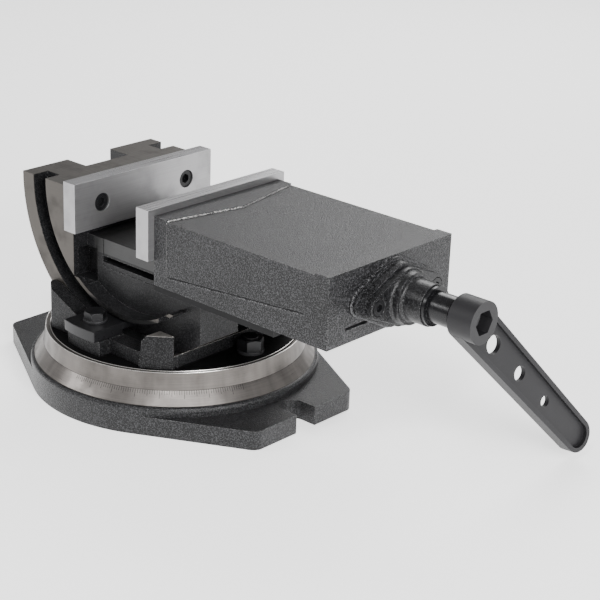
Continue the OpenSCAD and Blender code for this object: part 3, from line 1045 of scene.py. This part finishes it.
@dataclass
class TiltBody(Assembly):
    """The tilting body: arc rails, fixed jaw and guideway, with the nut on it."""

    rail_outer: float = 99.5
    ground_from: float = 66.0
    rail_ground_from: float = 48.0
    rail_end: float = -45.0
    way_depth: float = 10.6
    fade: float = 4.0

    def ground_faces(self, graph: Graph) -> Signal:
        """Where the rails' sides and the top are ground.

        Args:
            graph: The node tree.

        Returns:
            The mask.
        """
        x, y, z = graph.parts()
        high = corners("tilt_body")[1]
        side = abs(y).step_mm(high.y - 0.4, high.y - 0.1)
        top = z.step_mm(high.z - 0.4, high.z - 0.1)
        upper = z.step_mm(self.ground_from, self.ground_from + self.fade)
        tail = z.step_mm(self.rail_ground_from, self.rail_ground_from + self.fade)
        tail = tail * x.step_mm(self.rail_end + 1, self.rail_end)
        return (side * upper.most(tail)).most(top)

    def shaded_lip(self, graph: Graph) -> Signal:
        """Where the sides under the ground faces are painted black and dull, a painted shade.

        Args:
            graph: The node tree.

        Returns:
            The mask.
        """
        _, y, z = graph.parts()
        half = corners("tilt_body")[1].y
        side = abs(y).step_mm(half - 0.9, half - 0.6)
        return side * z.step_mm(self.ground_from + 3, self.ground_from)

    def turned_rail(self, graph: Graph) -> Signal:
        """Where the rails' outer faces are turned."""
        return from_pivot(graph).step_mm(self.rail_outer - 0.25, self.rail_outer - 0.05)

    def ground_way(self, graph: Graph) -> Signal:
        """Where the guideway is ground.

        Args:
            graph: The node tree.

        Returns:
            The mask.
        """
        x, _, z = graph.parts()
        deck = corners("screw_nut")[0].z
        face = corners("fixed_jaw_plate")[1].x
        above = z.step_mm(deck - self.way_depth, deck - self.way_depth + 0.3)
        below = z.step_mm(deck + 0.3, deck + 0.1)
        return above * below * x.step_mm(face, face + 1)

    def dress(self) -> None:
        """Gives the body, its nut and their screws their finishes."""
        pivot = tuple(joint("tilt")["pos_m"])
        # A black, dull patch on the lower sides, painted shade that hides their reflection
        shade_patch = BlackOxide("shaded_lip", (0.004, 0.004, 0.0042), gloss=0.7, wear=0.15)
        rail = Ground("ground_rail", (0.092, 0.085, 0.078), Axis.X, 0.42, stained=0.45)
        patches = [
            (shade_patch, self.shaded_lip),
            (Ground("ground_way", (0.06, 0.06, 0.06), Axis.X), self.ground_way),
            (Turned("turned_rail", (0.11, 0.105, 0.1), Axis.Y, pivot, 0.6), self.turned_rail),
            (rail, self.ground_faces),
        ]
        paint = HammerPaint(
            "body_enamel", light=(0.025, 0.025, 0.0265), relief=0.15, gloss=0.36, shine=0.25
        )
        dress_node("tilt_body", material(paint, patches), 1.2)
        dress_node("screw_nut", material(Bronze("nut_bronze")), 0.4)
        dress_node("screw_nut_bolts", material(OXIDE), 0.25)


@dataclass
class JawPlates(Assembly):
    """The two jaw plates and their screws."""

    def lit_top(self, graph: Graph) -> Signal:
        """Where the plates' tops are polished by use."""
        top = corners("fixed_jaw_plate")[1].z
        return graph.parts()[2].step_mm(top - 0.5, top - 0.1)

    def dress(self) -> None:
        """Gives the plates and screws their finishes."""
        bright = Ground("polished_top", (0.37, 0.365, 0.375), Axis.Y, 0.3, stained=0.05)
        plate = Ground("ground_plate", (0.37, 0.366, 0.372), Axis.Y, 0.4, stained=0.25)
        look = material(plate, [(bright, self.lit_top)])
        oxide = material(OXIDE)
        for side in ("fixed", "moving"):
            dress_node(f"{side}_jaw_plate", look, 0.5)
            dress_node(f"{side}_jaw_screws", oxide, 0.25)


@dataclass
class SlideJaw(Assembly):
    """The moving jaw's casting with its raised pad, keepers and bearing cap."""

    pad_side: float = 11.5
    pad_nose: float = 23.0
    boss: float = 9.0
    bead: float = 0.75
    bead_end: float = 0.25
    bead_spread: tuple[float, float] = (0.7, 1.15)
    boss_half: tuple[float, float] = (37.0, 22.6)
    boss_tip: float = 8.0
    boss_apex: float = 9.0
    boss_fillet: float = 1.1
    boss_steps: int = 6
    cap_flange: float = 4.5
    cap_step: tuple[float, float] = (16.5, 5.0)
    cap_nose: float = 13.3
    cap_fillet: float = 1.6
    cap_root: float = 0.3
    cap_sides: int = 72
    seam_from: tuple[float, float] = (11.5, 7.8)
    seam_to: tuple[float, float] = (129.0, 17.9)

    def build(self) -> None:
        """Makes the beads, seams and fillets of the castings."""
        # The boss fillet takes a lighter hammertone, a painted highlight along the boss's edge
        boss = material(
            HammerPaint("boss_highlight_enamel", light=(0.1, 0.1, 0.104), relief=0.12, gloss=0.3)
        )
        scuffed = Ground("scuffed_metal", (0.75, 0.74, 0.73), Axis.Y, 0.3)
        bead = material(HammerPaint("bead_enamel"), [(scuffed, self.scuffs)])
        seam = material(
            BlackOxide("seam_shadow", (0.012, 0.012, 0.0125), gloss=0.6, wear=0.0, shine=0.1)
        )
        # The ridge under the seam takes a lighter hammertone, a painted highlight; the seam's dark strand is
        # painted shadow
        ridge = material(
            HammerPaint("ridge_highlight_enamel", (0.01, 0.01, 0.011), (0.14, 0.14, 0.145), gloss=0.3)
        )
        make_piece("pad_bead", self.pad_bead(), bead, Body.SLIDE)
        make_piece("side_seams", self.along_seam(0.45, 0.45), seam, Body.SLIDE)
        make_piece("seam_ridges", self.along_seam(0.55, -0.45), ridge, Body.SLIDE)
        make_piece("boss_fillet", self.boss_bead(), boss, Body.SLIDE)
        fillet = material(HammerPaint("fillet_enamel", light=(0.045, 0.045, 0.047), relief=0.12))
        make_piece("cap_fillets", self.cap_fillets(), fillet, Body.SLIDE)

    def scuffs(self, graph: Graph) -> Signal:
        """Where paint has chipped off the bead, mostly on the near half of the top.

        Args:
            graph: The node tree.

        Returns:
            The mask.
        """
        _, y, z = graph.parts()
        top = corners("moving_jaw")[1].z
        chips = graph.noise(1100.0, 3.0).step(0.4, 0.52)
        upper = 0.05 + z.step_mm(top - 3.0, top - 1.8) * 0.95
        return chips * upper * (0.35 + y.step_mm(4.0, -6.0) * 0.65)

    def rough(self, shape: bmesh.types.BMesh, path: Sequence[Vector], size: float) -> None:
        """Sweeps an uneven bead along a path.

        Args:
            shape: The mesh that it adds to.
            path: Points in millimetres.
            size: Mean radius.
        """
        dice = random.Random(len(path))
        swell = [dice.uniform(*self.bead_spread) for _ in path[1:-1]]
        sweep(shape, path, [size * part for part in (self.bead_end, *swell, self.bead_end)])

    def pad_bead(self) -> bmesh.types.BMesh:
        """The bead round the edge of the raised pad and down the jaw's sides.

        Returns:
            The mesh.
        """
        low, high = corners("moving_jaw")
        shape = bmesh.new()
        top = high.z - 1.0
        half = high.y - 0.4
        nose = Vector((low.x + self.pad_nose, 0, top))
        for s in (-1, 1):
            side = Vector((low.x + self.pad_side, s * half, top))
            self.rough(shape, between(side, nose, 1.1), self.bead)
            foot = Vector((side.x, side.y, low.z + self.seam_from[1]))
            self.rough(shape, between(side, foot, 1.3), self.bead * 0.8)
        return shape

    def along_seam(self, size: float, rise: float) -> bmesh.types.BMesh:
        """A strand of the parting seam that rises along each side.

        Args:
            size: Its mean radius.
            rise: Its height over the seam's middle.

        Returns:
            The mesh.
        """
        low, high = corners("moving_jaw")
        shape = bmesh.new()
        for s in (-1, 1):
            ends = [Vector((low.x + x, s * (high.y - 0.25), low.z + z + rise)) for x, z in
                    (self.seam_from, self.seam_to)]
            self.rough(shape, between(*ends, 2.0), size)
        return shape

    def diamond(self, x: float, height: float) -> list[Vector]:
        """The boss's rounded diamond outline.

        Args:
            x: Its place along the screw.
            height: Height of its centre.

        Returns:
            Points round it.
        """
        w = self.boss_half[0] - self.boss_tip
        h = self.boss_half[1] - self.boss_apex
        away = math.hypot(w, h)
        turn = math.pi - math.atan2(h, w) - math.acos((self.boss_tip - self.boss_apex) / away)
        up = math.pi / 2
        steps = [k / self.boss_steps for k in range(self.boss_steps + 1)]
        quarter = [(self.boss_apex, 0.0, h, up + (turn - up) * part) for part in steps]
        quarter += [(self.boss_tip, w, 0.0, turn * (1 - part)) for part in steps]
        arc = [(y0 + r * math.cos(a), z0 + r * math.sin(a)) for r, y0, z0, a in quarter]
        half = arc + [(y, -z) for y, z in reversed(arc[:-1])]
        outline = half + [(-y, z) for y, z in reversed(half[1:-1])]
        return [Vector((x, y, height + z)) for y, z in outline]

    def boss_bead(self) -> bmesh.types.BMesh:
        """The fillet where the boss leaves the jaw's front.

        Returns:
            The mesh.
        """
        path = self.diamond(corners("moving_jaw")[1].x - self.boss, screw_height())
        shape = bmesh.new()
        sweep(shape, path, [self.boss_fillet] * len(path), 10, True)
        return shape

    def cap_fillets(self) -> bmesh.types.BMesh:
        """The fillets round the cap's step and nose.

        Returns:
            The mesh.
        """
        face = corners("bearing_cap")[0].x + self.cap_flange
        step_r, step_len = self.cap_step
        shape = bmesh.new()
        for x, r in ((face, step_r), (face + step_len, self.cap_nose)):
            size, root = self.cap_fillet, self.cap_root
            arc = [math.pi * k / 10 for k in range(6)]
            curve = [(x + size - size * math.sin(a), r + size - size * math.cos(a)) for a in arc]
            profile = [(x - root, r - root), (x + size, r - root), *curve, (x - root, r + size)]
            lathe_x(shape, profile, screw_height(), self.cap_sides)
        return shape

    def dress(self) -> None:
        """Gives the casting, keepers, cap and screws their finishes."""
        enamel = HammerPaint("jaw_enamel", light=(0.058, 0.058, 0.061), relief=0.36, shine=0.25)
        dress_node("moving_jaw", material(enamel), 1.0)
        cap = material(HammerPaint("cap_enamel", light=(0.034, 0.034, 0.036), relief=0.12))
        dress_node("bearing_cap", cap, 0.3)
        keeper = material(BlackOxide("keeper_oxide", (0.006, 0.006, 0.0065), gloss=0.5, shine=0.2))
        oxide = material(OXIDE)
        for name in ("keeper_front", "keeper_rear"):
            dress_node(name, keeper, 0.4)
        for name in ("keeper_screws", "bearing_cap_screws"):
            dress_node(name, oxide, 0.25)
        bronze = material(Bronze("washer_bronze"))
        for name in ("inner_thrust_washer", "outer_thrust_washer"):
            dress_node(name, bronze, 0.2)


@dataclass
class LeadScrew(Assembly):
    """The lead screw with a cut thread, its collar and set screws."""

    thread_radius: float = 10.0
    root_radius: float = 8.3
    journal: float = 8.2
    shoulder: float = 14.7
    shoulder_at: float = 63.45
    shoulder_len: float = 5.0
    thread_end: float = 81.8
    hex_flats: float = 14.0
    hex_len: float = 12.0
    sides: int = 48
    turn_steps: int = 10
    fade_steps: int = 8
    flank_slope: float = 5.0
    crest: float = 0.75
    shaft_gap: float = 0.1
    hex_chamfer: float = 1.0
    hex_drop: float = 0.2

    def radius(self, x: float, turn: float, lead: float) -> float:
        """The thread's radius at a place.

        Args:
            x: Distance along the screw.
            turn: Angle round it in radians.
            lead: Advance in one turn.

        Returns:
            The radius.
        """
        wave = (x / lead - turn / (2 * math.pi)) % 1.0
        flank = min(max(abs(wave - 0.5) * self.flank_slope - self.crest, 0.0), 1.0)
        return self.root_radius + (self.thread_radius - self.root_radius) * (1.0 - flank)

    def build(self) -> None:
        """Makes the threaded screw, which stands for the plain CAD one."""
        low, high = corners("lead_screw")
        height = screw_height()
        lead = frame["record"]["behaviour"]["couplings"][0]["ratio"] * 2 * math.pi / MM
        end = high.x - self.thread_end
        turns = circle(self.sides)
        depth = self.thread_radius - self.root_radius
        rings: list[tuple[float, list[float]]] = []
        steps = math.ceil((end - low.x) / (lead / self.turn_steps))
        for i in range(steps + 1):
            x = low.x + (end - low.x) * i / steps
            trim = min(1.0, (i + 1) / self.fade_steps, (steps - i + 1) / self.fade_steps)
            cut = [min(self.radius(x, t, lead), self.root_radius + depth * trim) for t in turns]
            rings.append((x, cut))
        shoulder = high.x - self.shoulder_at
        for x, r in (
            (end + self.shaft_gap, self.journal),
            (shoulder, self.journal),
            (shoulder, self.shoulder),
            (shoulder + self.shoulder_len, self.shoulder),
            (shoulder + self.shoulder_len, self.journal),
            (high.x - self.hex_len, self.journal),
        ):
            rings.append((x, [r] * self.sides))
        sixth = math.pi / 3
        flats = [self.hex_flats / 2 / math.cos((t % sixth) - sixth / 2) for t in turns]
        rings.append((high.x - self.hex_len, flats))
        rings.append((high.x - self.hex_chamfer, flats))
        rings.append((high.x, [min(r, self.hex_flats / 2 - self.hex_drop) for r in flats]))
        points = [
            [Vector((x, r * math.cos(t), height + r * math.sin(t))) for r, t in zip(radii, turns)]
            for x, radii in rings
        ]
        shape = bmesh.new()
        skin_rings(shape, points)
        steel = material(BlackOxide("screw_steel", (0.05, 0.05, 0.052), gloss=0.3, wear=0.9))
        piece = make_piece("threaded_screw", shape, steel, Body.SCREW)
        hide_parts("lead_screw")

    def dress(self) -> None:
        """Gives the collar and its set screws their finishes."""
        dress_node("thrust_collar", material(BlackOxide("collar_oxide", gloss=0.24)), 0.4)
        # Bare steel set screws, their bright tone partly a painted glint
        bright = material(Ground("set_screw", (0.7, 0.7, 0.7), Axis.X, 0.2))
        dress_node("collar_set_screws", bright, 0.1)


@dataclass
class Crank(Assembly):
    """The removable crank."""

    def dress(self) -> None:
        """Gives the crank its coat."""
        dress_node("crank_handle", material(SatinCoat("crank_coat")), 0.8)


@dataclass(frozen=True)
class Lamp:
    """A soft square lamp: its place and side in metres and its power in watts."""

    name: str
    place: Point
    size: float
    power: float


@dataclass
class Studio:
    """Floor, light and camera."""

    target: Point = (113.787, 0.015, 88.110)
    distance: float = 1068.79
    yaw: float = 41.7266
    pitch: float = 21.6413
    roll: float = 2.0834
    lens: float = 100.97
    floor_glow: float = 1.15
    floor_half: float = 6.0
    floor_colour: Colour = (0.92, 0.92, 0.92)
    surround: float = 0.42
    lamps: tuple[Lamp, ...] = (
        Lamp("key", (-0.9, -1.1, 0.9), 0.45, 6.5),
        Lamp("front", (0.6, -0.78, 1.2), 0.22, 7),
        Lamp("fill", (1.5, -0.6, 0.7), 0.6, 32),
        Lamp("rim", (-0.5, 1.2, 1.1), 0.9, 16),
    )

    def floor(self) -> None:
        """A plain pale floor."""
        shape = bmesh.new()
        bmesh.ops.create_grid(shape, x_segments=1, y_segments=1, size=self.floor_half)
        data = bpy.data.meshes.new("floor")
        shape.to_mesh(data)
        shape.free()
        graph = Graph("pale_floor")
        made = graph.node(
            "BsdfPrincipled",
            None,
            {
                "Base Color": (*self.floor_colour, 1),
                "Roughness": 0.9,
                "Emission Color": (1, 1, 1, 1),
                "Emission Strength": self.floor_glow,
            },
        )
        graph.node("OutputMaterial", None, {0: Signal(graph, made.outputs[0])})
        data.materials.append(graph.material)
        plane = bpy.data.objects.new("floor", data)
        bpy.context.scene.collection.objects.link(plane)

    def hang(self, lamp: Lamp) -> None:
        """Hangs a lamp that points at the vise.

        Args:
            lamp: What it is.
        """
        data = bpy.data.lights.new(lamp.name, "AREA")
        data.size = lamp.size
        data.energy = lamp.power
        hung = bpy.data.objects.new(lamp.name, data)
        hung.location = lamp.place
        aim = Vector(self.target) * MM - Vector(lamp.place)
        hung.rotation_euler = aim.to_track_quat("-Z", "Y").to_euler()
        bpy.context.scene.collection.objects.link(hung)

    def light(self) -> None:
        """A bright surround and the soft lamps."""
        world = bpy.data.worlds.new("studio")
        world.use_nodes = True
        back = world.node_tree.nodes["Background"]
        back.inputs["Color"].default_value = (1, 1, 1, 1)
        back.inputs["Strength"].default_value = self.surround
        bpy.context.scene.world = world
        for lamp in self.lamps:
            self.hang(lamp)

    def camera(self) -> None:
        """The camera at the three-quarter view from the crank's side."""
        yaw, pitch, roll = (math.radians(v) for v in (self.yaw, self.pitch, self.roll))
        back = Vector((math.sin(yaw) * math.cos(pitch), -math.cos(yaw) * math.cos(pitch),
                       math.sin(pitch)))
        right = Vector((math.cos(yaw), math.sin(yaw), 0))
        up = back.cross(right)
        across = math.cos(roll) * right + math.sin(roll) * up
        above = -math.sin(roll) * right + math.cos(roll) * up
        turn = Matrix((across, above, back)).transposed().to_4x4()
        data = bpy.data.cameras.new("camera")
        data.lens = self.lens
        camera = bpy.data.objects.new("camera", data)
        place = (Vector(self.target) + back * self.distance) * MM
        camera.matrix_world = Matrix.Translation(place) @ turn
        bpy.context.scene.collection.objects.link(camera)
        bpy.context.scene.camera = camera

    def build(self) -> None:
        """Sets up the whole studio."""
        self.floor()
        self.light()
        self.camera()


def main() -> None:
    """Builds and dresses the vise, one sub-assembly after another."""
    logging.basicConfig(level=logging.INFO, format="%(name)s: %(message)s")
    Studio().build()
    assemblies: tuple[Assembly, ...] = (
        SwivelBase(), Turntable(), TiltBody(), JawPlates(), SlideJaw(), LeadScrew(), Crank(),
    )
    for assembly in assemblies:
        assembly.build()
        assembly.dress()


if __name__ == "__main__":
    main()
